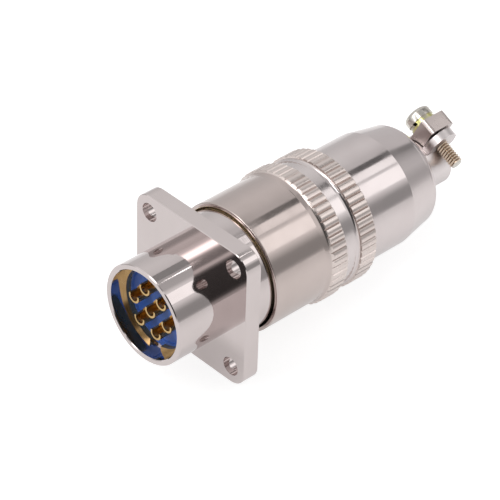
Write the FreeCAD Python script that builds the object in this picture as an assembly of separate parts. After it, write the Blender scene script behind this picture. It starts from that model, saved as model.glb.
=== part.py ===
import FreeCAD, Part
import math
import os

# Circular aviation plug, a mated pair: square-flange receptacle, push-pull plug with a cable clamp.
# Millimetres. The axis of the connector is X, the cable end is +X, up is +Z.
# Origin: centre of the rear face of the mounting flange, on the axis.

V = FreeCAD.Vector
os.makedirs("parts", exist_ok=True)

# Receptacle
TUBE_R = 9.0
TUBE_BORE_R = 8.0
RIM_X = -10.2
FLANGE_SIDE = 26.4
FLANGE_THICK = 3.1
FLANGE_CORNER_R = 3.2
HOLE_SPACING = 20.0
HOLE_R = 1.7
COLLAR_R = 10.7
COLLAR_SHOULDER_X = 7.9
COLLAR_END_X = 9.7
BARREL_R = 9.4
BARREL_BORE_R = 8.25
BARREL_END_X = 15.2
LOCK_GROOVE_R = 8.9
LOCK_GROOVE = (10.95, 12.15)
RING_GROOVE_R = 8.4
REAR_RING = (-7.5, -6.5)

# Contacts, one in the centre and six around it
CONTACT_CIRCLE_R = 4.0
CONTACT_TURN = 10.0
CUP_MOUTH_X = -8.7
PIN_R = 0.75
CONTACT_R = 1.2
CONTACT_COLLAR_R = 1.5
CUP_BORE_R = 0.85

# Plug
NOSE_R = 8.15
NOSE_BORE_R = 7.35
NOSE_X = 4.4
WEB_X = 15.6
COLLET_SEAT_X = 17.3
PLUG_TUBE_R = 9.6
PLUG_TUBE_END_X = 30.5
PLUG_BORE_R = 8.0

# Coupling sleeve
SLEEVE_X = 8.5
SLEEVE_R = 11.67
SLEEVE_BORE_R = 11.0
SLEEVE_LAND_R = 10.4
SLEEVE_END_X = 24.2
SLEEVE_COUNTERBORE_R = 11.55
KNURL_1_X = 21.05
KNURL_1_R = 12.3

# Backshell
BAND_X = 21.6
BAND_R = 11.4
KNURL_2_X = 27.55
KNURL_2_END_X = 31.1
KNURL_2_R = 12.12
RELIEF_R = 10.25
RELIEF_END_X = 31.45
SHELL_R = 10.57
TAPER_X = 41.8
DOME_X = 47.65
DOME_R = 9.49
DOME_FILLET = 1.41
SHELL_END_X = 49.1
NECK_R = 4.95
NECK_BORE_R = 3.8
NECK_CUT_X = 52.6
NECK_END_X = 57.0

# Knurl
KNURL_TEETH = 54
KNURL_DEPTH = 0.36
KNURL_CROWN = 0.09

# Cable clamp, turned about X as in the photo
CLAMP_TURN = 26.0
CLAMP_X = 55.5
SCREW_OFFSET = 5.8
LUG_R = 3.1
LUG_LOW = -1.1
LUG_HIGH = 0.35
SADDLE_GAP = 0.6
EAR_THICK = 2.9
EAR_HALF = 2.7
EAR_REACH = 3.5
EAR_CORNER_R = 0.9
ARCH_R = 4.8
SCREW_R = 1.25
SCREW_LENGTH = 10.0
HEAD_R = 2.5
HEAD_H = 2.1
HEAD_WALL = 1.1
SLOT_WIDTH = 0.7
SLOT_DEPTH = 0.9
SLOT_TURNS = (55.0, -20.0)
PLAIN_WASHER = 0.5
SPRING_WASHER = 0.6


def lathe(steps):
    """Turn a closed outline about X. A step is (x, r), or (x_mid, r_mid, x, r) for an arc."""
    first = V(steps[0][0], 0, steps[0][1])
    last = first
    edges = []
    for step in steps[1:]:
        end = V(step[-2], 0, step[-1])
        if len(step) == 4:
            edges.append(Part.Arc(last, V(step[0], 0, step[1]), end).toShape())
        else:
            edges.append(Part.makeLine(last, end))
        last = end
    edges.append(Part.makeLine(last, first))
    face = Part.Face(Part.Wire(edges))
    return face.revolve(V(0, 0, 0), V(1, 0, 0), 360)


def disc(x0, x1, r, y=0.0, z=0.0):
    return Part.makeCylinder(r, x1 - x0, V(x0, y, z), V(1, 0, 0))


def ring(x0, x1, r_in, r_out):
    return disc(x0, x1, r_out).cut(disc(x0 - 1, x1 + 1, r_in))


def block(x0, x1, y0, y1, z0, z1):
    return Part.makeBox(x1 - x0, y1 - y0, z1 - z0, V(x0, y0, z0))


def export(shape, name):
    shape = shape.removeSplitter()
    shape.exportStep("parts/" + name + ".step")
    print(name, len(shape.Solids), "solid(s), volume", round(shape.Volume, 1), "valid", shape.isValid())


def toothed(x0, x1, radius):
    """Prism with crowned ridges and narrow V grooves between them."""
    ridge = ((-0.5, KNURL_DEPTH), (-0.36, KNURL_CROWN), (0.0, 0.0), (0.36, KNURL_CROWN), (0.5, KNURL_DEPTH))
    edges = []
    for i in range(KNURL_TEETH):
        points = []
        for at, drop in ridge:
            a = 2 * math.pi * (i + at) / KNURL_TEETH
            r = radius - drop
            points.append(V(x0, r * math.cos(a), r * math.sin(a)))
        edges.append(Part.makeLine(points[0], points[1]))
        edges.append(Part.Arc(points[1], points[2], points[3]).toShape())
        edges.append(Part.makeLine(points[3], points[4]))
    face = Part.Face(Part.Wire(edges))
    return face.extrude(V(x1 - x0, 0, 0))


def contact_places():
    places = [(0.0, 0.0)]
    for i in range(6):
        a = math.radians(CONTACT_TURN + 60 * i)
        places.append((CONTACT_CIRCLE_R * math.cos(a), CONTACT_CIRCLE_R * math.sin(a)))
    return places


def at_contacts(shape):
    copies = []
    for y, z in contact_places():
        copy = shape.copy()
        copy.translate(V(0, y, z))
        copies.append(copy)
    return copies


# Receptacle shell

def receptacle_shell():
    turned = lathe([
        (RIM_X, 8.12), (RIM_X, 8.85), (RIM_X + 0.15, TUBE_R), (0.6, TUBE_R),
        (0.6, COLLAR_R), (COLLAR_SHOULDER_X, COLLAR_R),
        (COLLAR_SHOULDER_X + 0.36, COLLAR_R - 0.025, COLLAR_SHOULDER_X + 0.7, COLLAR_R - 0.1),
        (COLLAR_END_X, COLLAR_R - 0.1),
        (COLLAR_END_X, BARREL_R), (LOCK_GROOVE[0], BARREL_R), (LOCK_GROOVE[0], LOCK_GROOVE_R),
        (LOCK_GROOVE[1], LOCK_GROOVE_R), (LOCK_GROOVE[1], BARREL_R),
        (BARREL_END_X - 0.4, BARREL_R), (BARREL_END_X, BARREL_R - 0.3),
        (BARREL_END_X, 8.4), (BARREL_END_X - 0.15, BARREL_BORE_R), (1.5, BARREL_BORE_R),
        (1.5, 7.3), (0.5, 7.3), (0.5, TUBE_BORE_R), (REAR_RING[1], TUBE_BORE_R),
        (REAR_RING[1], RING_GROOVE_R), (REAR_RING[0], RING_GROOVE_R), (REAR_RING[0], TUBE_BORE_R),
        (RIM_X + 0.12, TUBE_BORE_R),
    ])
    half = FLANGE_SIDE / 2
    plate = block(0, FLANGE_THICK, -half, half, -half, half)
    corners = [e for e in plate.Edges if abs(e.tangentAt(e.FirstParameter).x) > 0.9]
    plate = plate.makeFillet(FLANGE_CORNER_R, corners)
    rims = []
    for face in plate.Faces:
        if abs(face.normalAt(0, 0).x) > 0.9:
            rims.extend(face.Edges)
    plate = plate.makeChamfer(0.12, rims)
    plate = plate.cut(disc(-1, FLANGE_THICK + 1, 8.6))
    for y in (-HOLE_SPACING / 2, HOLE_SPACING / 2):
        for z in (-HOLE_SPACING / 2, HOLE_SPACING / 2):
            plate = plate.cut(disc(-1, FLANGE_THICK + 1, HOLE_R, y, z))
    # The key inside the barrel, on top, keeps the plug from going in the wrong way round
    key = block(1.5, 14.0, -0.75, 0.75, 7.7, 8.4).common(disc(1.5, 14.0, 8.6))
    return turned.fuse([plate, key])


def receptacle_insulator_rear():
    body = lathe([
        (REAR_RING[1], 6.9), (REAR_RING[1], TUBE_BORE_R), (-1.5, TUBE_BORE_R), (-1.5, 0.0),
        (REAR_RING[1] + 0.3, 0.0), (REAR_RING[1] + 0.3, 6.7),
    ])
    return body.cut(at_contacts(disc(-8, 0, CONTACT_R)))


def receptacle_insulator_front():
    body = lathe([
        (-1.5, 0.0), (-1.5, TUBE_BORE_R), (0.5, TUBE_BORE_R), (0.5, 7.3), (6.0, 7.3), (6.0, 0.0),
    ])
    body = body.cut(at_contacts(disc(-2, 7, CONTACT_R)))
    return body.cut(at_contacts(disc(-2, 0.0, CONTACT_COLLAR_R)))


def solder_cup(shape, x_mouth, x_floor):
    """Open the end of a contact as a solder cup with one side cut away."""
    low, high = min(x_mouth, x_floor), max(x_mouth, x_floor)
    shape = shape.cut(disc(low, high, CUP_BORE_R))
    depth = abs(x_floor - x_mouth) * 0.7
    if x_mouth < x_floor:
        slot = block(x_mouth - 1, x_mouth + depth, -2, 2, 0.35, 2)
    else:
        slot = block(x_mouth - depth, x_mouth + 1, -2, 2, 0.35, 2)
    return shape.cut(slot)


def receptacle_pins():
    pin = lathe([
        (CUP_MOUTH_X, 0.0), (CUP_MOUTH_X, CONTACT_R), (-1.5, CONTACT_R),
        (-1.5, CONTACT_COLLAR_R), (0.0, CONTACT_COLLAR_R),
        (0.0, CONTACT_R), (6.0, CONTACT_R), (6.0, PIN_R), (11.7, PIN_R), (12.1, 0.6, 12.3, 0.25),
        (12.3, 0.0),
    ])
    pin = solder_cup(pin, CUP_MOUTH_X, -6.2)
    return Part.makeCompound(at_contacts(pin))


def snap_ring(x0, x1):
    """Flat spring ring with a gap, sprung into its groove."""
    body = ring(x0, x1, 7.2, RING_GROOVE_R)
    return body.cut(block(x0 - 1, x1 + 1, -1.3, 1.3, -10, 0))


# Plug

def plug_shell():
    body = lathe([
        (NOSE_X, NOSE_BORE_R), (NOSE_X, NOSE_R - 0.15), (NOSE_X + 0.15, NOSE_R), (WEB_X, NOSE_R),
        (WEB_X, 9.3), (COLLET_SEAT_X, 9.3), (COLLET_SEAT_X, PLUG_TUBE_R),
        (PLUG_TUBE_END_X - 0.2, PLUG_TUBE_R), (PLUG_TUBE_END_X, PLUG_TUBE_R - 0.2),
        (PLUG_TUBE_END_X, PLUG_BORE_R), (25.0, PLUG_BORE_R), (25.0, RING_GROOVE_R),
        (24.0, RING_GROOVE_R), (24.0, PLUG_BORE_R), (14.0, PLUG_BORE_R), (14.0, NOSE_BORE_R),
    ])
    # Keyway in the nose, and the slot underneath that the sleeve's guide tab runs in
    body = body.cut(block(NOSE_X - 1, 14.6, -1.0, 1.0, 7.0, 9.0))
    return body.cut(block(COLLET_SEAT_X, 22.0, -1.0, 1.0, -10.0, -9.0))


def lock_collet():
    body = lathe([
        (10.4, 9.75), (10.85, 9.62), (11.2, 8.95), (12.05, 8.95), (12.05, 9.75), (15.7, 9.75),
        (15.7, 9.3), (COLLET_SEAT_X, 9.3), (COLLET_SEAT_X, 10.9), (15.7, 10.9), (15.7, 10.3), (10.4, 10.3),
    ])
    for i in range(6):
        slot = block(9.0, 15.0, -0.4, 0.4, 8.0, 11.0)
        slot.rotate(V(0, 0, 0), V(1, 0, 0), 60.0 * i)
        body = body.cut(slot)
    return body


def barrel_seal_ring():
    return ring(15.25, WEB_X, NOSE_R, 9.2)


def plug_insulator_front():
    body = lathe([
        (6.4, 0.0), (6.4, NOSE_BORE_R), (14.0, NOSE_BORE_R),
        (14.0, PLUG_BORE_R), (17.0, PLUG_BORE_R), (17.0, 0.0),
    ])
    body = body.cut(at_contacts(disc(6.0, 7.0, 0.85)))
    body = body.cut(at_contacts(disc(6.8, 18.0, CONTACT_R)))
    return body.cut(at_contacts(disc(15.6, 18.0, CONTACT_COLLAR_R)))


def plug_insulator_rear():
    body = disc(17.0, 24.0, PLUG_BORE_R)
    return body.cut(at_contacts(disc(16.0, 25.0, CONTACT_R)))


def plug_sockets():
    socket = lathe([
        (6.8, 0.8), (6.8, CONTACT_R), (15.6, CONTACT_R), (15.6, CONTACT_COLLAR_R), (17.0, CONTACT_COLLAR_R),
        (17.0, CONTACT_R), (27.0, CONTACT_R), (27.0, 0.0), (13.4, 0.0), (13.4, 0.8),
    ])
    socket = solder_cup(socket, 27.0, 24.2)
    return Part.makeCompound(at_contacts(socket))


# Coupling sleeve

def coupling_sleeve():
    body = lathe([
        (SLEEVE_X, SLEEVE_BORE_R), (SLEEVE_X, 11.35), (SLEEVE_X + 0.09, 11.58, SLEEVE_X + 0.32, SLEEVE_R),
        (SLEEVE_END_X - 0.6, SLEEVE_R), (SLEEVE_END_X - 0.6, SLEEVE_COUNTERBORE_R),
        (18.9, SLEEVE_COUNTERBORE_R), (18.9, 9.7), (17.4, 9.7), (17.4, SLEEVE_BORE_R),
        (12.9, SLEEVE_BORE_R), (12.6, SLEEVE_LAND_R), (10.3, SLEEVE_LAND_R), (9.95, SLEEVE_BORE_R),
    ])
    # A hollow fillet leads from the plain part up to the ends of the teeth
    foot = KNURL_1_X - 1.25
    teeth = toothed(foot, SLEEVE_END_X, KNURL_1_R)
    shape = lathe([
        (foot, SLEEVE_COUNTERBORE_R), (foot, SLEEVE_R),
        (foot + 0.62, SLEEVE_R + 0.124, foot + 1.15, KNURL_1_R - 0.15), (KNURL_1_X, KNURL_1_R),
        (SLEEVE_END_X - 0.15, KNURL_1_R), (SLEEVE_END_X, KNURL_1_R - 0.15), (SLEEVE_END_X, SLEEVE_COUNTERBORE_R),
    ])
    tab = block(17.4, 18.9, -0.8, 0.8, -9.85, -9.15)
    return body.fuse([teeth.common(shape), tab])


def sleeve_spring():
    wire_r = 0.4
    mean_r = 10.25
    start = 18.95 + wire_r
    length = 26.45 - wire_r - start
    helix = Part.makeHelix(length / 3.5, length, mean_r)
    # The round wire is drawn with eight sides
    points = []
    for i in range(8):
        a = math.radians(22.5 + 45 * i)
        points.append(V(mean_r + wire_r * math.cos(a), 0, wire_r * math.sin(a)))
    section = Part.makePolygon(points + [points[0]])
    coil = Part.Wire(helix.Edges).makePipeShell([section], True, True)
    coil.rotate(V(0, 0, 0), V(0, 1, 0), 90)
    coil.translate(V(start, 0, 0))
    return coil


# Backshell and cable clamp

def clamp_turn(shape):
    """Clamp pieces are built with the screw heads toward +Z and the lugs along Y, then turned about X."""
    shape.rotate(V(0, 0, 0), V(1, 0, 0), CLAMP_TURN - 90.0)
    return shape


def lug_plate(z0, z1):
    """Two round lugs joined to the neck."""
    parts = []
    for side in (-1, 1):
        y = side * SCREW_OFFSET
        parts.append(Part.makeCylinder(LUG_R, z1 - z0, V(CLAMP_X, y, z0)))
        y0, y1 = min(0, y), max(0, y)
        parts.append(block(CLAMP_X - LUG_R, NECK_END_X, y0, y1, z0, z1))
    return parts


def screw_holes(z0, z1, r):
    return [Part.makeCylinder(r, z1 - z0, V(CLAMP_X, side * SCREW_OFFSET, z0)) for side in (-1, 1)]


def backshell():
    outside = lathe([
        (BAND_X, 10.95), (BAND_X, BAND_R - 0.1), (BAND_X + 0.1, BAND_R), (KNURL_2_X + 0.5, BAND_R),
        (KNURL_2_X + 0.5, RELIEF_R), (RELIEF_END_X, RELIEF_R), (RELIEF_END_X + 0.05, SHELL_R),
        (TAPER_X, SHELL_R), (DOME_X, DOME_R),
        (DOME_X + DOME_FILLET * 0.7071, DOME_R - DOME_FILLET * 0.2929,
         DOME_X + DOME_FILLET, DOME_R - DOME_FILLET),
        (SHELL_END_X, 8.0), (SHELL_END_X, NECK_R), (NECK_END_X - 0.15, NECK_R), (NECK_END_X, NECK_R - 0.15),
        (NECK_END_X, NECK_BORE_R + 0.1), (NECK_END_X - 0.1, NECK_BORE_R), (47.2, NECK_BORE_R),
        (47.2, 8.0), (41.5, 9.0), (31.0, 9.0), (31.0, PLUG_TUBE_R), (26.5, PLUG_TUBE_R), (26.5, 10.95),
    ])
    foot = KNURL_2_X - 0.7
    teeth = toothed(foot, KNURL_2_END_X, KNURL_2_R)
    shape = lathe([
        (foot, 10.1), (foot, BAND_R), (foot + 0.35, BAND_R + 0.097, foot + 0.6, KNURL_2_R - KNURL_DEPTH),
        (KNURL_2_X, KNURL_2_R), (KNURL_2_END_X - 0.15, KNURL_2_R), (KNURL_2_END_X, KNURL_2_R - 0.15),
        (KNURL_2_END_X, 10.1),
    ])
    body = outside.fuse([teeth.common(shape)])
    # Half of the neck is cut away for the saddle, and carries the two threaded lugs
    cutaway = clamp_turn(block(NECK_CUT_X, NECK_END_X + 1, -6, 6, 0.0, 6))
    body = body.cut(cutaway)
    lugs = lug_plate(LUG_LOW, LUG_HIGH)
    solid = lugs[0].fuse(lugs[1:])
    solid = solid.cut(Part.makeCylinder(NECK_BORE_R + 0.5, 20, V(45, 0, 0), V(1, 0, 0)))
    body = body.fuse([clamp_turn(solid)])
    # The screw holes run past the lugs and graze the outside of the neck
    return body.cut([clamp_turn(hole) for hole in screw_holes(-7, 1, SCREW_R)])


def backshell_gasket():
    return ring(PLUG_TUBE_END_X, 31.0, 8.3, PLUG_TUBE_R)


def clamp_saddle():
    low = SADDLE_GAP
    high = SADDLE_GAP + EAR_THICK
    x0 = CLAMP_X - EAR_HALF
    x1 = CLAMP_X + EAR_HALF
    ear = block(x0, x1, -SCREW_OFFSET - EAR_REACH, SCREW_OFFSET + EAR_REACH, low, high)
    corners = [e for e in ear.Edges if abs(e.tangentAt(e.FirstParameter).z) > 0.9]
    ear = ear.makeFillet(EAR_CORNER_R, corners)
    arch = disc(x0, x1, ARCH_R).cut(block(x0 - 1, x1 + 1, -6, 6, -6, low))
    body = ear.fuse([arch])
    body = body.cut(disc(x0 - 1, x1 + 1, NECK_BORE_R))
    body = body.cut(screw_holes(-1, 5, SCREW_R + 0.1))
    return clamp_turn(body)


def clamp_screws():
    under = SADDLE_GAP + EAR_THICK + PLAIN_WASHER + SPRING_WASHER
    tip = under - SCREW_LENGTH
    profile = [
        V(0, 0, tip), V(SCREW_R - 0.3, 0, tip), V(SCREW_R, 0, tip + 0.3), V(SCREW_R, 0, under),
        V(HEAD_R, 0, under), V(HEAD_R, 0, under + HEAD_WALL),
    ]
    edges = [Part.makeLine(profile[i], profile[i + 1]) for i in range(len(profile) - 1)]
    dome_mid = V(HEAD_R * 0.74, 0, under + HEAD_WALL + (HEAD_H - HEAD_WALL) * 0.72)
    top = V(0, 0, under + HEAD_H)
    edges.append(Part.Arc(profile[-1], dome_mid, top).toShape())
    edges.append(Part.makeLine(top, profile[0]))
    screw = Part.Face(Part.Wire(edges)).revolve(V(0, 0, 0), V(0, 0, 1), 360)
    copies = []
    for side, turn in zip((-1, 1), SLOT_TURNS):
        slot = block(-SLOT_WIDTH / 2, SLOT_WIDTH / 2, -3, 3, under + HEAD_H - SLOT_DEPTH, under + 3)
        slot.rotate(V(0, 0, 0), V(0, 0, 1), turn)
        copy = screw.cut(slot)
        copy.translate(V(CLAMP_X, side * SCREW_OFFSET, 0))
        copies.append(clamp_turn(copy))
    return Part.makeCompound(copies)


def washers(z0, thick, r_in, r_out, split):
    copies = []
    for side in (-1, 1):
        body = Part.makeCylinder(r_out, thick).cut(Part.makeCylinder(r_in, thick))
        if split:
            gap = block(0.5, 4, -0.3, 0.3, -1, 2)
            gap.rotate(V(2, 0, thick / 2), V(1, 0, 0), 30)
            gap.rotate(V(0, 0, 0), V(0, 0, 1), 200)
            body = body.cut(gap)
        body.translate(V(CLAMP_X, side * SCREW_OFFSET, z0))
        copies.append(clamp_turn(body))
    return Part.makeCompound(copies)


export(receptacle_shell(), "receptacle_shell")
export(receptacle_insulator_rear(), "receptacle_insulator_rear")
export(receptacle_insulator_front(), "receptacle_insulator_front")
export(receptacle_pins(), "receptacle_pins")
export(snap_ring(REAR_RING[0], REAR_RING[1]), "receptacle_retaining_ring")
export(plug_shell(), "plug_shell")
export(lock_collet(), "lock_collet")
export(barrel_seal_ring(), "barrel_seal_ring")
export(plug_insulator_front(), "plug_insulator_front")
export(plug_insulator_rear(), "plug_insulator_rear")
export(plug_sockets(), "plug_sockets")
export(snap_ring(24.0, 25.0), "plug_retaining_ring")
export(coupling_sleeve(), "coupling_sleeve")
export(sleeve_spring(), "sleeve_spring")
export(backshell(), "backshell")
export(backshell_gasket(), "backshell_gasket")
export(clamp_saddle(), "clamp_saddle")
export(clamp_screws(), "clamp_screws")
top = SADDLE_GAP + EAR_THICK
export(washers(top, PLAIN_WASHER, SCREW_R + 0.05, 2.5, False), "clamp_plain_washers")
export(washers(top + PLAIN_WASHER, SPRING_WASHER, SCREW_R + 0.05, 2.3, True), "clamp_spring_washers")
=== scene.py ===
import math

import bmesh
import bpy
from mathutils import Matrix, Vector


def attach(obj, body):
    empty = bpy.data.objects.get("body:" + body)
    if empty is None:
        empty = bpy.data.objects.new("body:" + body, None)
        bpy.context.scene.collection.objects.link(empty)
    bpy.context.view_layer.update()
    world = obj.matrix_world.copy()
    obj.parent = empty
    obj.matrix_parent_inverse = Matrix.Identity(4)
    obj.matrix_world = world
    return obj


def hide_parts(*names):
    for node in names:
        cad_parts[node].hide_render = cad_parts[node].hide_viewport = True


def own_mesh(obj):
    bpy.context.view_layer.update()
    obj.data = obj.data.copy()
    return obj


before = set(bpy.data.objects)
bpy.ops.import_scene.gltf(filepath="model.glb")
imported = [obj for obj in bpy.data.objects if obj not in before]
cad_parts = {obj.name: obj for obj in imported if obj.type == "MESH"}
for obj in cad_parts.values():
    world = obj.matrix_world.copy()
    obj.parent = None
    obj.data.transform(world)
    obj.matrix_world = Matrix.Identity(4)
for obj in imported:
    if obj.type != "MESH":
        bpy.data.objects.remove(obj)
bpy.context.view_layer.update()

# Sizes are in millimetres unless stated, and MM turns them to metres. X runs toward the cable, Z is up
MM = 0.001

# Cable clamp: its turn about X in degrees, its middle and its screws
CLAMP_TURN = 26.0
CLAMP_X = 55.5
SCREW_OFFSET = 5.8
SCREW_R = 1.25
SCREW_TIP = -5.4
SCREW_UNDER_HEAD = 4.6
THREAD_PITCH = 0.5
THREAD_DEPTH = 0.24
THREAD_BULGE = 0.8
TIP_LENGTH = 0.35
TIP_SHARE = 0.78
HEAD_R = 2.5
HEAD_H = 2.1
HEAD_WALL = 1.1
HEAD_EDGE = 0.06
HEAD_BULGE = 0.8
SLOT_WIDTH = 0.7
SLOT_DEPTH = 0.9
SLOT_TURNS = {-1: 55.0, 1: -20.0}

# Sleeve spring: its wire, its coil, its two seats and the sleeve's way back
SPRING_WIRE_R = 0.4
SPRING_R = 10.25
SPRING_TURNS = 3.5
SPRING_FRONT_X = 18.95
SPRING_SEAT_X = 26.45

# Zones of the nickel along X, and the radii within which two of them are worn
SLEEVE_MOUTH = (8.0, 13.0)
WORN_MOUTH_R = 11.06
COLLAR_EDGE = (8.2, 9.8)
WORN_COLLAR_R = 12.0
SLEEVE_KNURL = (20.6, 24.4)
BACKSHELL_BAND = (24.0, 27.3)
BACKSHELL_KNURL = (27.3, 31.2)
CLAMP_LUGS = (49.4, 58.0)

# What the connector lies on: the flange's lower edge and the rear edge of the backshell's knurl
FLANGE_THICK = 3.1
FLANGE_HALF = 13.2
KNURL_END_X = 31.1
KNURL_R = 12.12


def linear(hex_colour):
    """An sRGB hex colour as Blender's linear RGBA."""
    parts = [int(hex_colour[i:i + 2], 16) / 255 for i in (1, 3, 5)]
    return tuple(c / 12.92 if c <= 0.04045 else ((c + 0.055) / 1.055) ** 2.4 for c in parts) + (1.0,)


def add(tree, kind, inputs=None, **settings):
    """Add one node: settings are its properties, inputs are values or the outputs that feed it."""
    node = tree.nodes.new(kind)
    for key, value in settings.items():
        setattr(node, key, value)
    for key, value in (inputs or {}).items():
        if isinstance(value, bpy.types.NodeSocket):
            tree.links.new(value, node.inputs[key])
        else:
            node.inputs[key].default_value = value
    return node


def clamp_place(point):
    """From the clamp's own axes, screw heads toward +Z, to the frame, in metres."""
    turn = Matrix.Rotation(math.radians(CLAMP_TURN - 90.0), 4, "X")
    return turn @ (Vector(point) * MM)


def new_object(name, mesh):
    """An object in the scene with this mesh, which is used up."""
    data = bpy.data.meshes.new(name)
    mesh.to_mesh(data)
    mesh.free()
    piece = bpy.data.objects.new(name, data)
    bpy.context.collection.objects.link(piece)
    return piece


def new_material(name):
    """A material with its node tree and its shader."""
    material = bpy.data.materials.new(name)
    material.use_nodes = True
    tree = material.node_tree
    return material, tree, tree.nodes["Principled BSDF"]


# Materials

def worn_through_and_painted_light(tree, place, zone, radius):
    """Where two parts slide on each other the plate is worn down to dull brass. It is painted dark toward
    the bottom as shade and pale toward the top as light, which falls on the gap from above. Gives the share
    of bare metal, all of it in a zone along X and within a radius, and the colour there."""
    shaded_below, lit_above = -3.0 * MM, 8.0 * MM
    split = add(tree, "ShaderNodeSeparateXYZ", {0: place})
    along = split.outputs["X"]
    past = add(tree, "ShaderNodeMath", {0: along, 1: zone[0] * MM}, operation="GREATER_THAN")
    short = add(tree, "ShaderNodeMath", {0: along, 1: zone[1] * MM}, operation="LESS_THAN")
    across = add(tree, "ShaderNodeVectorMath", {0: place, 1: (0.0, 1.0, 1.0)}, operation="MULTIPLY")
    across = add(tree, "ShaderNodeVectorMath", {0: across.outputs[0]}, operation="LENGTH")
    inside = add(tree, "ShaderNodeMath", {0: across.outputs["Value"], 1: radius * MM},
                 operation="LESS_THAN")
    share = add(tree, "ShaderNodeMath", {0: past.outputs[0], 1: short.outputs[0]}, operation="MULTIPLY")
    share = add(tree, "ShaderNodeMath", {0: share.outputs[0], 1: inside.outputs[0]},
                operation="MULTIPLY")
    # Painted shade and painted light: the bare brass goes from dark at the bottom to pale at the top
    height = add(tree, "ShaderNodeMapRange", {
        "Value": split.outputs["Z"], "From Min": shaded_below, "From Max": lit_above,
    })
    worn = add(tree, "ShaderNodeMix", {
        "Factor": height.outputs[0], "A": linear("#4A3E36"), "B": linear("#D9C5A6"),
    }, data_type="RGBA")
    return share.outputs[0], worn.outputs["Result"]


def bright_nickel(name, light, dark, polish=(0.09, 0.18), dull=(), bare=None):
    """Bright nickel plate on brass: mirror-like and a little warm, with the ring marks of turning under it
    and a thin haze of handling that makes it duller in patches, between the two roughnesses of polish.
    Rolled teeth and the clamp's lugs are less polished: dull lists such zones along X, with what each adds
    to the roughness and its tint. Bare is the zone and the radius in which the plate is worn through to
    brass, which is painted dark below as shade and pale above as light.
    Real ring marks are finer, and these are as coarse as they need to show."""
    haze_patch = 5.0 * MM
    dull_from, dull_past = 0.35, 0.7
    soft_edge = 0.2 * MM
    ring_pitch = 0.3 * MM
    ring_depth = 0.0012 * MM
    worn_roughness = 0.45
    material, tree, shader = new_material(name)
    place = add(tree, "ShaderNodeTexCoord").outputs["Object"]
    along = add(tree, "ShaderNodeSeparateXYZ", {0: place}).outputs["X"]
    haze = add(tree, "ShaderNodeTexNoise", {"Vector": place, "Scale": 1 / haze_patch, "Detail": 4.0})
    rough = add(tree, "ShaderNodeMapRange", {
        "Value": haze.outputs[0], "From Min": dull_from, "From Max": dull_past,
        "To Min": polish[0], "To Max": polish[1],
    })
    tint = add(tree, "ShaderNodeMix", {
        "Factor": haze.outputs[0], "A": linear(light), "B": linear(dark),
    }, data_type="RGBA")
    for (start, end), added, pale in dull:
        middle = (start + end) / 2 * MM
        half = (end - start) / 2 * MM
        away = add(tree, "ShaderNodeMath", {0: along, 1: middle}, operation="SUBTRACT")
        away = add(tree, "ShaderNodeMath", {0: away.outputs[0]}, operation="ABSOLUTE")
        zone = add(tree, "ShaderNodeMapRange", {
            "Value": away.outputs[0],
            "From Min": half - soft_edge, "From Max": half, "To Min": 1.0, "To Max": 0.0,
        })
        rough = add(tree, "ShaderNodeMath", {0: zone.outputs[0], 1: added, 2: rough.outputs[0]},
                    operation="MULTIPLY_ADD")
        tint = add(tree, "ShaderNodeMix", {
            "Factor": zone.outputs[0], "A": tint.outputs["Result"], "B": linear(pale),
        }, data_type="RGBA")
    if bare:
        # Worn brass with painted shade below and painted light above
        share, worn = worn_through_and_painted_light(tree, place, *bare)
        rough = add(tree, "ShaderNodeMath", {0: share, 1: worn_roughness, 2: rough.outputs[0]},
                    operation="MULTIPLY_ADD")
        tint = add(tree, "ShaderNodeMix", {
            "Factor": share, "A": tint.outputs["Result"], "B": worn,
        }, data_type="RGBA")
    tree.links.new(rough.outputs[0], shader.inputs["Roughness"])
    tree.links.new(tint.outputs["Result"], shader.inputs["Base Color"])
    shader.inputs["Metallic"].default_value = 1.0
    ring_place = add(tree, "ShaderNodeMath", {0: along, 1: 1 / ring_pitch}, operation="MULTIPLY")
    rings = add(tree, "ShaderNodeTexNoise", {"W": ring_place.outputs[0], "Scale": 1.0, "Detail": 2.0},
                noise_dimensions="1D")
    bump = add(tree, "ShaderNodeBump", {
        "Height": rings.outputs[0], "Distance": ring_depth, "Strength": 1.0,
    })
    tree.links.new(bump.outputs[0], shader.inputs["Normal"])
    return material


def patchy(name, patch, detail, colours, roughness, metallic=1.0, edges=(0.0, 1.0)):
    """A material whose colour and roughness drift together between two ends, in soft patches of one size.
    Closer edges part the two colours more sharply. Gives the material, its tree, its shader, the place on
    the object and the patches."""
    material, tree, shader = new_material(name)
    place = add(tree, "ShaderNodeTexCoord").outputs["Object"]
    patches = add(tree, "ShaderNodeTexNoise", {
        "Vector": place, "Scale": 1 / (patch * MM), "Detail": detail,
    }).outputs[0]
    share = add(tree, "ShaderNodeMapRange", {"Value": patches, "From Min": edges[0], "From Max": edges[1]})
    tint = add(tree, "ShaderNodeMix", {
        "Factor": share.outputs[0], "A": linear(colours[0]), "B": linear(colours[1]),
    }, data_type="RGBA")
    tree.links.new(tint.outputs["Result"], shader.inputs["Base Color"])
    rough = add(tree, "ShaderNodeMapRange", {
        "Value": patches, "To Min": roughness[0], "To Max": roughness[1],
    })
    tree.links.new(rough.outputs[0], shader.inputs["Roughness"])
    shader.inputs["Metallic"].default_value = metallic
    return material, tree, shader, place, patches


def machined_brass():
    """Plain turned brass, yellow and soft-edged in its shine, a little darker where it has tarnished."""
    return patchy("machined_brass", 1.5, 4.0, ("#D9BB84", "#BC9A62"), (0.2, 0.38))[0]


def yellow_passivated_steel():
    """Zinc-plated steel with a yellow passivate: pale yellow-green, rubbed off in patches to the grey
    zinc."""
    return patchy("yellow_passivated_steel", 1.2, 3.0, ("#DDD88E", "#BDB8A8"), (0.22, 0.4),
                  edges=(0.4, 0.6))[0]


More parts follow.
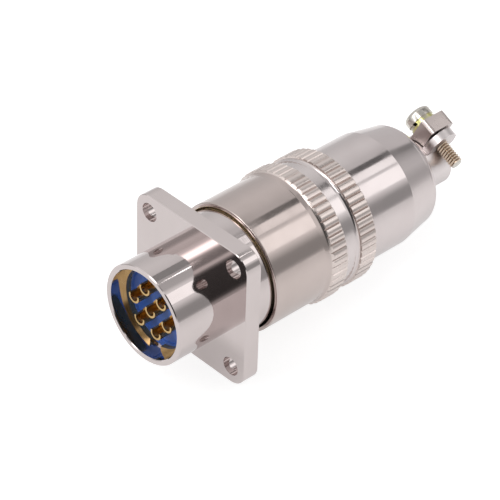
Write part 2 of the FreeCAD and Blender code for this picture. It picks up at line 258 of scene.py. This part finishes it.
def bright_zinc_steel():
    """Zinc-plated spring steel: pale, with a fine crystalline dullness that is drawn coarser than it is,
    to show."""
    grain_depth = 0.004 * MM
    material, tree, shader, place, grain = patchy(
        "bright_zinc_steel", 0.4, 3.0, ("#D8D4CE", "#BDB7AE"), (0.2, 0.36))
    bump = add(tree, "ShaderNodeBump", {"Height": grain, "Distance": grain_depth})
    tree.links.new(bump.outputs[0], shader.inputs["Normal"])
    return material


def brown_screw_steel_with_painted_thread_shade():
    """Plated screw steel: bright on the head and the tip and brown-gold on the thread, with a painted
    highlight on its crests and painted shade down in its roots."""
    plain_ends_from, plain_ends_past = 4.7 * MM, 4.9 * MM
    crest, root = 0.53, 0.47
    material, tree, shader, place, grain = patchy(
        "brown_screw_steel_with_painted_thread_shade", 0.6, 2.0, ("#D9D5CF", "#C3BCB2"), (0.14, 0.26))
    plate = shader.inputs["Base Color"].links[0].from_socket
    # Painted highlight and painted shade: pointiness makes the thread's crests pale and its roots dark
    pointed = add(tree, "ShaderNodeNewGeometry").outputs["Pointiness"]
    depth = add(tree, "ShaderNodeMapRange", {"Value": pointed, "From Min": crest, "From Max": root})
    thread_tone_and_painted_shade = add(tree, "ShaderNodeMix", {
        "Factor": depth.outputs[0], "A": linear("#D8C6B4"), "B": linear("#967E68"),
    }, data_type="RGBA")
    to_head = clamp_place((0, 0, 1)).normalized()
    along = add(tree, "ShaderNodeVectorMath", {0: place, 1: tuple(to_head)}, operation="DOT_PRODUCT")
    middle = (SCREW_TIP + SCREW_UNDER_HEAD) / 2 * MM
    away = add(tree, "ShaderNodeMath", {0: along.outputs["Value"], 1: middle}, operation="SUBTRACT")
    away = add(tree, "ShaderNodeMath", {0: away.outputs[0]}, operation="ABSOLUTE")
    ends = add(tree, "ShaderNodeMapRange", {
        "Value": away.outputs[0], "From Min": plain_ends_from, "From Max": plain_ends_past,
    })
    tint = add(tree, "ShaderNodeMix", {
        "Factor": ends.outputs[0], "A": thread_tone_and_painted_shade.outputs["Result"], "B": plate,
    }, data_type="RGBA")
    tree.links.new(tint.outputs["Result"], shader.inputs["Base Color"])
    return material


def moulded_blue_insulator():
    """Moulded glass-filled thermoplastic: a strong blue with a satin skin and a fine moulding texture,
    which is drawn coarser than it is, to show."""
    skin_grain, skin_depth = 0.25 * MM, 0.004 * MM
    material, tree, shader, place, flow = patchy(
        "moulded_blue_insulator", 3.0, 3.0, ("#4375D6", "#3866C4"), (0.3, 0.45), metallic=0.0)
    skin = add(tree, "ShaderNodeTexNoise", {"Vector": place, "Scale": 1 / skin_grain, "Detail": 2.0})
    bump = add(tree, "ShaderNodeBump", {"Height": skin.outputs[0], "Distance": skin_depth})
    tree.links.new(bump.outputs[0], shader.inputs["Normal"])
    shader.inputs["IOR"].default_value = 1.53
    return material


def moulded_rubber():
    """Black nitrile rubber: nearly matt, with a faint bloom."""
    return patchy("moulded_rubber", 1.0, 3.0, ("#1B1B1C", "#2C2C2D"), (0.55, 0.75), metallic=0.0)[0]


NICKEL = bright_nickel("bright_nickel_plate", "#D3C9C8", "#CBC1BF")
RECEPTACLE_NICKEL = bright_nickel(
    "bright_nickel_plate_on_receptacle", "#D3C9C8", "#CBC1BF",
    polish=(0.05, 0.1), bare=(COLLAR_EDGE, WORN_COLLAR_R))
SLEEVE_NICKEL = bright_nickel(
    "bright_nickel_plate_on_sleeve", "#CABDB9", "#C0B3AE",
    dull=[(SLEEVE_KNURL, 0.16, "#DACEC9")], bare=(SLEEVE_MOUTH, WORN_MOUTH_R))
BACKSHELL_NICKEL = bright_nickel(
    "bright_nickel_plate_on_backshell", "#D5CCCB", "#CDC3C2",
    dull=[(BACKSHELL_BAND, 0.05, "#D5CCCB"), (BACKSHELL_KNURL, 0.16, "#D8CCC7"),
          (CLAMP_LUGS, 0.24, "#DED6D5")])
SADDLE_NICKEL = bright_nickel("tumbled_nickel_plate_on_saddle", "#CDC2BF", "#BDB1AD", polish=(0.24, 0.36))
BRASS = machined_brass()
YELLOW = yellow_passivated_steel()
ZINC = bright_zinc_steel()
SCREW = brown_screw_steel_with_painted_thread_shade()
BLUE = moulded_blue_insulator()
RUBBER = moulded_rubber()

FINISHES = {
    "receptacle_shell": RECEPTACLE_NICKEL,
    "receptacle_insulator_rear": BLUE,
    "receptacle_insulator_front": BLUE,
    "receptacle_pins": BRASS,
    "receptacle_retaining_ring": BRASS,
    "plug_shell": NICKEL,
    "lock_collet": BRASS,
    "barrel_seal_ring": RUBBER,
    "plug_insulator_front": BLUE,
    "plug_insulator_rear": BLUE,
    "plug_sockets": BRASS,
    "plug_retaining_ring": BRASS,
    "coupling_sleeve": SLEEVE_NICKEL,
    "sleeve_spring": ZINC,
    "backshell": BACKSHELL_NICKEL,
    "backshell_gasket": RUBBER,
    "clamp_saddle": SADDLE_NICKEL,
    "clamp_screws": SCREW,
    "clamp_plain_washers": YELLOW,
    "clamp_spring_washers": YELLOW,
}
for node_name, material in FINISHES.items():
    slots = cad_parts[node_name].data.materials
    for index in range(len(slots)):
        slots[index] = material


# Pieces

def skin_over(mesh, rings):
    """Close a row of rings of vertices into one solid's skin, with a cap on each end."""
    around = len(rings[0])
    for low, high in zip(rings, rings[1:]):
        for k in range(around):
            after = (k + 1) % around
            mesh.faces.new((low[k], low[after], high[after], high[k]))
    mesh.faces.new(list(reversed(rings[0])))
    mesh.faces.new(rings[-1])


def thread_radius(z, angle):
    """Radius of a right-hand helical thread at a height and an angle, drawn in toward the screw's tip."""
    phase = (z / THREAD_PITCH - angle / (2 * math.pi)) % 1.0
    depth = THREAD_DEPTH * (1 - abs(2 * phase - 1)) ** THREAD_BULGE
    past_tip = min(1.0, (z - SCREW_TIP) / TIP_LENGTH)
    return (SCREW_R - depth) * (TIP_SHARE + (1 - TIP_SHARE) * past_tip)


def threaded_screw(side):
    """Slotted pan-head screw with its real helical thread, as one closed mesh in its place."""
    steps_around, steps_per_turn, head_steps = 48, 12, 8
    angles = [2 * math.pi * k / steps_around for k in range(steps_around)]
    length = SCREW_UNDER_HEAD - SCREW_TIP
    count = int(length / THREAD_PITCH * steps_per_turn)
    rows = []
    for row in range(count + 1):
        z = SCREW_TIP + length * row / count
        rows.append([(thread_radius(z, angle), angle, z) for angle in angles])
    head = [(HEAD_R - HEAD_EDGE, 0.0), (HEAD_R, HEAD_EDGE), (HEAD_R, HEAD_WALL)]
    for step in range(1, head_steps):
        t = step / head_steps * math.pi / 2
        head.append((HEAD_R * math.cos(t) ** HEAD_BULGE, HEAD_WALL + (HEAD_H - HEAD_WALL) * math.sin(t)))
    for r, z in head:
        rows.append([(r, angle, SCREW_UNDER_HEAD + z) for angle in angles])
    mesh = bmesh.new()
    rings = []
    for row in rows:
        rings.append([mesh.verts.new((r * math.cos(a), r * math.sin(a), z)) for r, a, z in row])
    skin_over(mesh, rings)
    screw = new_object("screw", mesh)

    past_head, above_head = 8.0, 2.0
    slot_floor = SCREW_UNDER_HEAD + HEAD_H - SLOT_DEPTH
    block = bmesh.new()
    bmesh.ops.create_cube(block, size=1.0, matrix=(
        Matrix.Rotation(math.radians(SLOT_TURNS[side]), 4, "Z")
        @ Matrix.Translation((0, 0, slot_floor + above_head / 2))
        @ Matrix.Diagonal((SLOT_WIDTH, past_head, above_head, 1.0))))
    cutter = new_object("slot_cutter", block)
    cut = screw.modifiers.new("slot", "BOOLEAN")
    cut.operation = "DIFFERENCE"
    cut.object = cutter
    cut.solver = "EXACT"
    bpy.context.view_layer.update()
    shaped = bpy.data.meshes.new_from_object(screw.evaluated_get(bpy.context.evaluated_depsgraph_get()))
    bpy.data.objects.remove(screw)
    bpy.data.objects.remove(cutter)
    for vertex in shaped.vertices:
        x, y, z = vertex.co
        vertex.co = clamp_place((CLAMP_X + x, y + side * SCREW_OFFSET, z))
    return shaped


def clamp_screws():
    """Both clamp screws as one piece, in place of the plain ones."""
    sharp_from = math.radians(38)
    joined = bmesh.new()
    for side in SLOT_TURNS:
        joined.from_mesh(threaded_screw(side))
    piece = new_object("threaded_clamp_screws", joined)
    piece.data.materials.append(SCREW)
    for face in piece.data.polygons:
        face.use_smooth = True
    piece.data.set_sharp_from_angle(angle=sharp_from)
    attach(piece, "plug")
    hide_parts("clamp_screws")


def coil_spring():
    """The sleeve's spring: the same wire as in the source, made again as a mesh of its own. Its rear end
    lies against the backshell's front face."""
    steps_per_turn, sides = 48, 8
    front = SPRING_FRONT_X + SPRING_WIRE_R
    rear = SPRING_SEAT_X - SPRING_WIRE_R
    count = int(SPRING_TURNS * steps_per_turn)
    mesh = bmesh.new()
    rings = []
    for step in range(count + 1):
        turn = 2 * math.pi * step / steps_per_turn
        x = front + (rear - front) * step / count
        ring = []
        for k in range(sides):
            a = 2 * math.pi * (k + 0.5) / sides
            r = SPRING_R + SPRING_WIRE_R * math.cos(a)
            point = (x + SPRING_WIRE_R * math.sin(a), r * math.sin(turn), -r * math.cos(turn))
            ring.append(mesh.verts.new(Vector(point) * MM))
        rings.append(ring)
    skin_over(mesh, rings)
    bmesh.ops.recalc_face_normals(mesh, faces=mesh.faces)
    piece = new_object("sleeve_coil_spring", mesh)
    piece.data.materials.append(ZINC)
    for face in piece.data.polygons:
        face.use_smooth = len(face.vertices) == 4
    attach(piece, "plug")
    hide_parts("sleeve_spring")
    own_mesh(piece)


clamp_screws()
coil_spring()


# Floor, light and camera

def paper_floor_material(floor_r):
    """White paper. To the camera and in reflections it shines by itself, so that it stays white, and it
    lights nothing else. In reflections it is dimmer close beside the object, a painted shadow of the
    object, and far off to the sides, painted shade, but not in front of the flange."""
    clear_from, clear_past = 4.0 * MM, -8.0 * MM
    to_camera = 1.18
    shine = 0.67
    material, tree, shader = new_material("white_paper_floor")
    shader.inputs["Base Color"].default_value = (0.42, 0.42, 0.42, 1.0)
    shader.inputs["Roughness"].default_value = 1.0
    shader.inputs["Specular IOR Level"].default_value = 0.0
    path = add(tree, "ShaderNodeLightPath").outputs
    seen = add(tree, "ShaderNodeMath", {0: path["Is Camera Ray"], 1: path["Is Glossy Ray"]},
               operation="MAXIMUM")
    seen = add(tree, "ShaderNodeMath", {0: seen.outputs[0], 1: path["Is Transmission Ray"]},
               operation="MAXIMUM")
    place = add(tree, "ShaderNodeSeparateXYZ", {0: add(tree, "ShaderNodeTexCoord").outputs["Object"]})
    sideways = add(tree, "ShaderNodeMath", {0: place.outputs["Y"]}, operation="ABSOLUTE")
    share = add(tree, "ShaderNodeMapRange", {"Value": sideways.outputs[0], "From Max": floor_r * MM})
    # Painted shade in the floor's reflections: a painted contact shadow close beside the object and painted
    # dimming far off to the sides
    painted_floor_shade = add(tree, "ShaderNodeValToRGB", {0: share.outputs[0]})
    stops = painted_floor_shade.color_ramp.elements
    stops.remove(stops[1])
    stops[0].color = (0.78, 0.78, 0.78, 1)
    for away, tone in ((6, 0.8), (15, 1.0), (36, 1.0), (80, 0.84), (235, 0.6)):
        stops.new(away / floor_r).color = (tone, tone, tone, 1)
    clear = add(tree, "ShaderNodeMapRange", {
        "Value": place.outputs["X"], "From Min": clear_from, "From Max": clear_past,
    })
    bright = add(tree, "ShaderNodeMath", {0: path["Is Camera Ray"], 1: to_camera}, operation="MULTIPLY")
    shade = add(tree, "ShaderNodeMath", {0: painted_floor_shade.outputs[0], 1: clear.outputs[0]}, operation="MAXIMUM")
    shade = add(tree, "ShaderNodeMath", {0: shade.outputs[0], 1: bright.outputs[0]}, operation="MAXIMUM")
    seen = add(tree, "ShaderNodeMath", {0: seen.outputs[0], 1: shade.outputs[0]}, operation="MULTIPLY")
    glow = add(tree, "ShaderNodeMath", {0: seen.outputs[0], 1: shine}, operation="MULTIPLY")
    shader.inputs["Emission Color"].default_value = (1.0, 1.0, 1.0, 1.0)
    tree.links.new(glow.outputs[0], shader.inputs["Emission Strength"])
    return material


def floor():
    """Round white sweep under the object: it touches the flange's lower edge and the rear knurl."""
    floor_r, ahead, gap = 240, 25.0, 0.02
    sides = 48
    touch = Vector((FLANGE_THICK, 0.0, -FLANGE_HALF)) * MM
    rise = math.atan2(FLANGE_HALF - KNURL_R, KNURL_END_X - FLANGE_THICK)
    tilt = Matrix.Rotation(-rise, 4, "Y")
    mesh = bmesh.new()
    corners = []
    for k in range(sides):
        a = 2 * math.pi * k / sides
        point = Vector((floor_r * math.cos(a) + ahead, floor_r * math.sin(a), -gap)) * MM
        corners.append(mesh.verts.new(tilt @ point + touch))
    mesh.faces.new(corners)
    piece = new_object("floor", mesh)
    piece.data.materials.append(paper_floor_material(floor_r))


def tones(tree, place, stops):
    """Grey tones at stated angles round the X axis: 0 is level on +Y, 90 is straight up and 180 is level
    on -Y."""
    ramp = add(tree, "ShaderNodeValToRGB", {0: place})
    elements = ramp.color_ramp.elements
    while len(elements) > 1:
        elements.remove(elements[-1])
    for number, (angle, tone) in enumerate(stops):
        at = (angle + 90) / 360
        element = elements[0] if number == 0 else elements.new(at)
        element.position = at
        element.color = (tone, tone, tone, 1)
    return ramp.outputs[0]


def studio():
    """A pale tent round the table. It has a grey gap overhead and an open, darker side low down past the
    lamp, and its end toward +X is darker overhead. Toward -X a bright panel stands high on the +Y side, and
    the dark room opens on the -Y side past a pale strip. The camera itself sees plain white."""
    end_from, end_past = 0.62, 0.78
    front_from, front_past = -0.2, -0.4
    world = bpy.data.worlds.new("studio")
    bpy.context.scene.world = world
    world.use_nodes = True
    tree = world.node_tree
    tree.nodes.clear()
    way = add(tree, "ShaderNodeTexCoord").outputs["Generated"]
    split = add(tree, "ShaderNodeSeparateXYZ", {0: way})
    minus_y = add(tree, "ShaderNodeMath", {0: split.outputs["Y"], 1: -1.0}, operation="MULTIPLY")
    angle = add(tree, "ShaderNodeMath", {0: minus_y.outputs[0], 1: split.outputs["Z"]}, operation="ARCTAN2")
    place = add(tree, "ShaderNodeMapRange", {
        "Value": angle.outputs[0], "From Min": -math.pi, "From Max": math.pi,
    }).outputs[0]
    sides = tones(tree, place, (
        (-6, 0.75), (0, 0.70), (12, 0.70), (28, 0.78), (46, 0.86), (62, 0.80), (75, 0.70), (83, 0.68),
        (88, 0.53), (109, 0.57), (116, 0.92), (146, 0.93), (160, 0.39), (168, 0.37), (179, 0.38),
        (184, 0.7),
    ))
    end = tones(tree, place, (
        (0, 0.70), (72, 0.72), (77, 0.30), (87, 0.28), (95, 0.43), (115, 0.64), (132, 0.68), (156, 0.52),
        (170, 0.56), (179, 0.72), (186, 0.9),
    ))
    front = tones(tree, place, (
        (-6, 0.62), (3, 0.56), (11, 0.57), (18, 0.68), (23, 0.88), (27, 1.05), (43, 0.98), (51, 1.1),
        (56, 1.5), (60, 2.6), (64, 3.6), (73, 3.6), (77, 1.9), (81, 0.85), (86, 0.5), (91, 0.4),
        (99, 0.36), (102, 0.5), (105, 1.0), (109, 1.0), (112, 0.5), (115, 0.22), (119, 0.08), (171, 0.06),
        (177, 0.14), (182, 0.5), (187, 0.75), (195, 0.9),
    ))
    to_end = add(tree, "ShaderNodeMapRange", {
        "Value": split.outputs["X"], "From Min": end_from, "From Max": end_past,
    }, interpolation_type="SMOOTHSTEP")
    tone = add(tree, "ShaderNodeMix", {"Factor": to_end.outputs[0], "A": sides, "B": end}, data_type="RGBA")
    to_front = add(tree, "ShaderNodeMapRange", {
        "Value": split.outputs["X"], "From Min": front_from, "From Max": front_past,
    }, interpolation_type="SMOOTHSTEP")
    tone = add(tree, "ShaderNodeMix", {
        "Factor": to_front.outputs[0], "A": tone.outputs["Result"], "B": front,
    }, data_type="RGBA")
    tent = add(tree, "ShaderNodeBackground", {"Color": tone.outputs["Result"], "Strength": 1.0})
    white = add(tree, "ShaderNodeBackground", {"Color": (1, 1, 1, 1), "Strength": 1.0})
    path = add(tree, "ShaderNodeLightPath")
    mix = add(tree, "ShaderNodeMixShader", {
        0: path.outputs["Is Camera Ray"], 1: tent.outputs[0], 2: white.outputs[0],
    })
    add(tree, "ShaderNodeOutputWorld", {0: mix.outputs[0]})


# The soft lights and cards stand round this point of the connector, off toward the cable end
PANEL_FROM = Vector((34.0, 0.0, 8.0)) * MM
PANEL_LEAN = 0.556
PANEL_ACROSS = math.sqrt(1 - PANEL_LEAN ** 2)
PANEL_DISTANCE = 300.0 * MM


def panel_axes(angle):
    """Middle of a panel at this angle round X, the direction to it, and the directions of a growing angle
    and along the connector."""
    flat, up = math.cos(math.radians(angle)), math.sin(math.radians(angle))
    way = Vector((PANEL_LEAN, PANEL_ACROSS * flat, PANEL_ACROSS * up))
    round_x = Vector((0, -up, flat))
    return PANEL_FROM + way * PANEL_DISTANCE, way, round_x, way.cross(round_x)


def hang(light, place):
    """Hang a lamp at a place, out of the camera's sight."""
    lamp = bpy.data.objects.new(light.name, light)
    bpy.context.collection.objects.link(lamp)
    lamp.matrix_world = place
    lamp.visible_camera = False


def soft_box(name, from_angle, to_angle, near, far, tone):
    """Rectangular soft light between two angles round the X axis and two places along the connector."""
    middle, way, round_x, along = panel_axes((from_angle + to_angle) / 2)
    half = math.radians(to_angle - from_angle) / 2 * PANEL_ACROSS
    light = bpy.data.lights.new(name, "AREA")
    light.shape = "RECTANGLE"
    light.size = 2 * PANEL_DISTANCE * math.tan(half)
    light.size_y = (far - near) * MM
    light.energy = tone * math.pi * light.size * light.size_y
    turn = Matrix((round_x, along, way)).transposed().to_4x4()
    hang(light, Matrix.Translation(middle + along * (near + far) / 2 * MM) @ turn)


def clamp_soft_box():
    """Small soft light above the clamp, on the camera's side, for the white shine of the screw's head. A
    grid of slats keeps its light off the sleeve."""
    aim = Vector((CLAMP_X, -2.0, 9.0)) * MM
    distance = 150.0 * MM
    tone = 10.0
    way = Vector((-0.556, -0.13, 0.82)).normalized()
    light = bpy.data.lights.new("clamp_soft_box", "AREA")
    light.shape = "SQUARE"
    light.size = 70.0 * MM
    light.spread = math.radians(26.0)
    # Share of the light that gets past the slats, with the tone straight ahead as it is without them
    past_slats = 1 - light.spread / 2 / math.tan(light.spread / 2)
    light.energy = tone * math.pi * light.size ** 2 * past_slats
    turn = way.to_track_quat("Z", "Y").to_matrix().to_4x4()
    hang(light, Matrix.Translation(aim + way * distance) @ turn)


def card(name, angle, half, near, far, tone):
    """Card beside the soft lights at an angle round the X axis, which draws a darker line along the
    metal."""
    middle, way, round_x, along = panel_axes(angle)
    mesh = bmesh.new()
    corners = []
    for a, b in ((near, -half), (far, -half), (far, half), (near, half)):
        corners.append(mesh.verts.new(middle + (along * a + round_x * b) * MM))
    mesh.faces.new(corners)
    piece = new_object(name, mesh)
    material, tree, shader = new_material(name)
    shader.inputs["Base Color"].default_value = (tone, tone, tone, 1.0)
    shader.inputs["Roughness"].default_value = 1.0
    piece.data.materials.append(material)
    piece.visible_camera = False


def camera():
    """The photo's view, found from the flange's corners, the holes, the rims and the axis. Angles are in
    radians. Aside and above are how far right of the picture's middle, and above it, the origin lies."""
    azimuth, elevation, roll = -0.7765991, 0.6539404, 0.0344004
    distance = 410.9566 * MM
    aside, above = -9.7473 * MM, -6.4058 * MM
    focal_px, picture_px = 2526.6661, 500.0
    sensor_mm = 36.0
    flat_right = Vector((math.cos(azimuth), math.sin(azimuth), 0))
    level = math.cos(elevation)
    back = Vector((math.sin(azimuth) * level, -math.cos(azimuth) * level, math.sin(elevation)))
    upright = back.cross(flat_right)
    right = math.cos(roll) * flat_right + math.sin(roll) * upright
    up = -math.sin(roll) * flat_right + math.cos(roll) * upright
    data = bpy.data.cameras.new("camera")
    data.sensor_width = sensor_mm
    data.lens = focal_px * sensor_mm / picture_px
    data.clip_start = 10.0 * MM
    body = bpy.data.objects.new("camera", data)
    bpy.context.collection.objects.link(body)
    turn = Matrix((right, up, back)).transposed().to_4x4()
    body.matrix_world = Matrix.Translation(back * distance - right * aside - up * above) @ turn
    bpy.context.scene.camera = body


floor()
studio()
soft_box("upper_soft_box", 96.0, 112.0, near=-25.0, far=90.0, tone=0.78)
soft_box("lower_soft_box", 119.0, 145.0, near=-55.0, far=90.0, tone=0.55)
soft_box("edge_light", 91.5, 93.5, near=-44.0, far=-30.0, tone=4.0)
clamp_soft_box()
card("dark_card", 90.0, half=26.0, near=-18.0, far=60.0, tone=0.24)
card("grey_card", 78.0, half=40.0, near=-70.0, far=-30.0, tone=0.55)
camera()
bpy.context.scene.view_settings.view_transform = "Standard"
